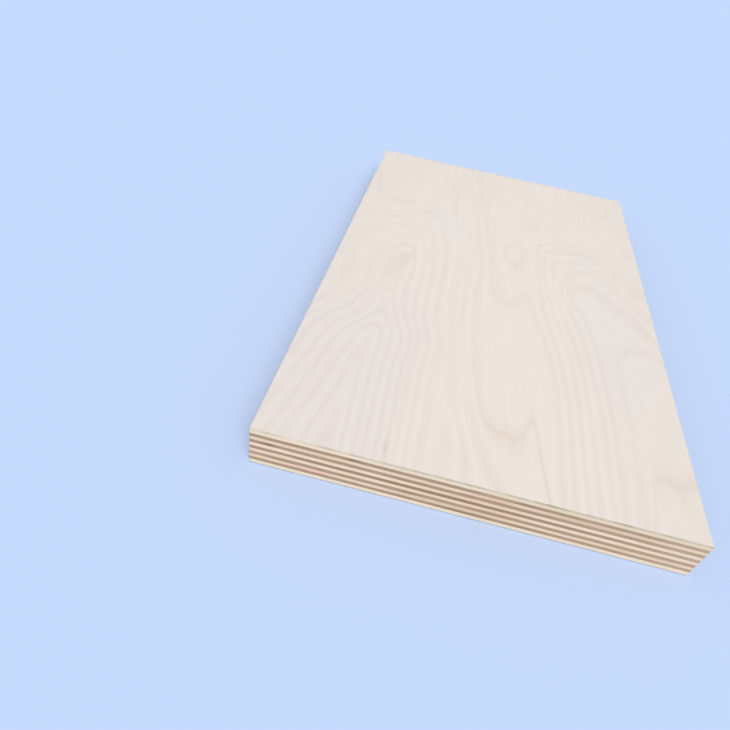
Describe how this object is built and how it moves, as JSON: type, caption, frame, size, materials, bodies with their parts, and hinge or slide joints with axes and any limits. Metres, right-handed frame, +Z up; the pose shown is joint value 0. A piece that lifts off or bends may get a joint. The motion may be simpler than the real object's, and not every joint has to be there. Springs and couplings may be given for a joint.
{
  "type": "plywood sheet",
  "caption": "Small flat sheet of birch plywood, glued up from thin veneers whose grain runs alternately along and across it, sawn square with all its plies showing at the edges.",
  "frame": {"origin": "centre of the back, the face that the sheet lies on", "axes": "+Y along the sheet's length and the grain of its face, +Z up through the plies from the back to the face, +X across the face grain"},
  "size_m": [0.132, 0.22, 0.015],
  "materials": {
    "birch_face": "matte",
    "birch_back": "matte",
    "birch_long_grain": "matte",
    "birch_cross_grain": "matte"
  },
  "bodies": {
    "root": {"back_veneer": "birch_back", "cross_veneer_1": "birch_cross_grain", "long_veneer_1": "birch_long_grain", "cross_veneer_2": "birch_cross_grain", "long_veneer_2": "birch_long_grain", "cross_veneer_3": "birch_cross_grain", "long_veneer_3": "birch_long_grain", "cross_veneer_4": "birch_cross_grain", "long_veneer_4": "birch_long_grain", "cross_veneer_5": "birch_cross_grain", "face_veneer": "birch_face"}
  },
  "joints": []
}
